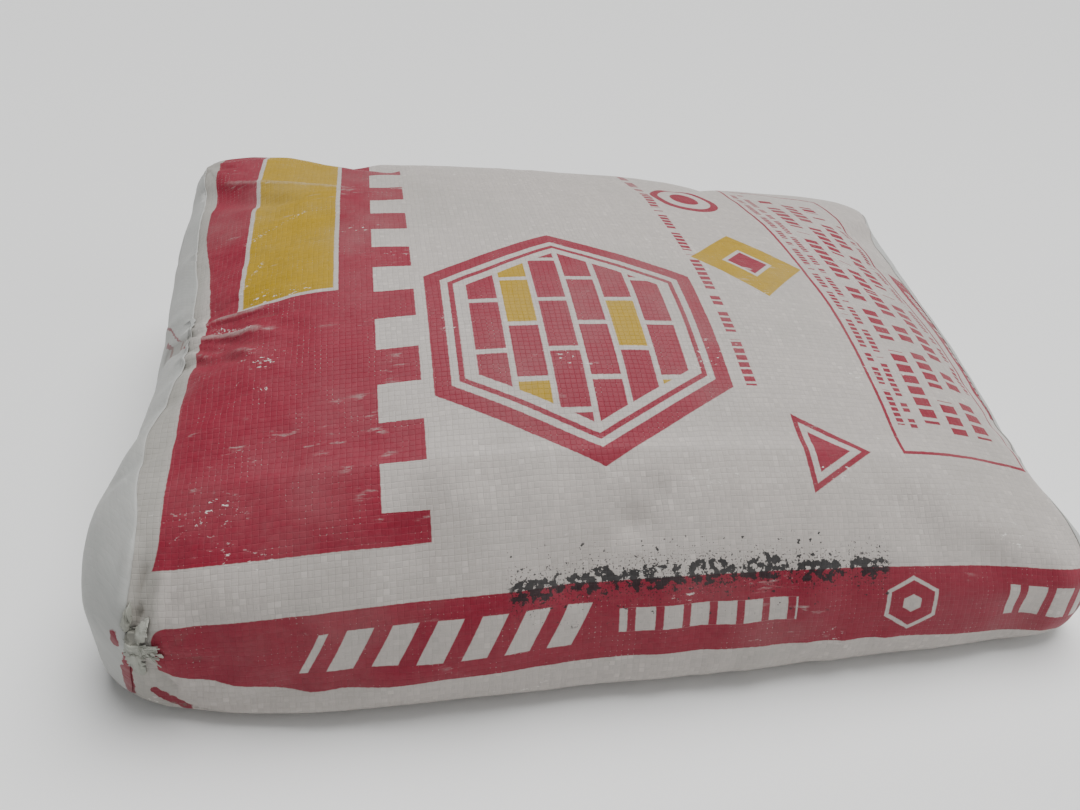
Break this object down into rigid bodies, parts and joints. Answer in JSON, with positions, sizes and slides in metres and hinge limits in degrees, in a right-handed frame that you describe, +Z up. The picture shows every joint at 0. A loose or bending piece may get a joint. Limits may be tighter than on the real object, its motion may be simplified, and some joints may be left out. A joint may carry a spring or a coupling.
{
  "type": "cement bag",
  "caption": "Filled block-bottom valve sack of woven polypropylene lying flat, crowned on top and flat underneath, with welded cover patches on both square ends.",
  "frame": {"origin": "middle of the bag's footprint on the floor", "axes": "+X along the bag from its head end, which has the valve, to its foot end; -Y is the near side, where the valve mouth is; +Z up"},
  "size_m": [0.5872, 0.44, 0.1519],
  "materials": {
    "woven_fabric": "laminated woven polypropylene with worn red and yellow print and cement dust",
    "cover_film": "pale laminated woven polypropylene, dusty",
    "valve_film": "crumpled woven polypropylene, frayed",
    "cement": "fine grey powder, settled"
  },
  "bodies": {
    "root": {"woven_sack": "woven_fabric", "cement_fill": "cement", "head_cover_patch": "cover_film", "foot_cover_patch": "cover_film", "valve_sleeve": "valve_film"}
  },
  "joints": []
}
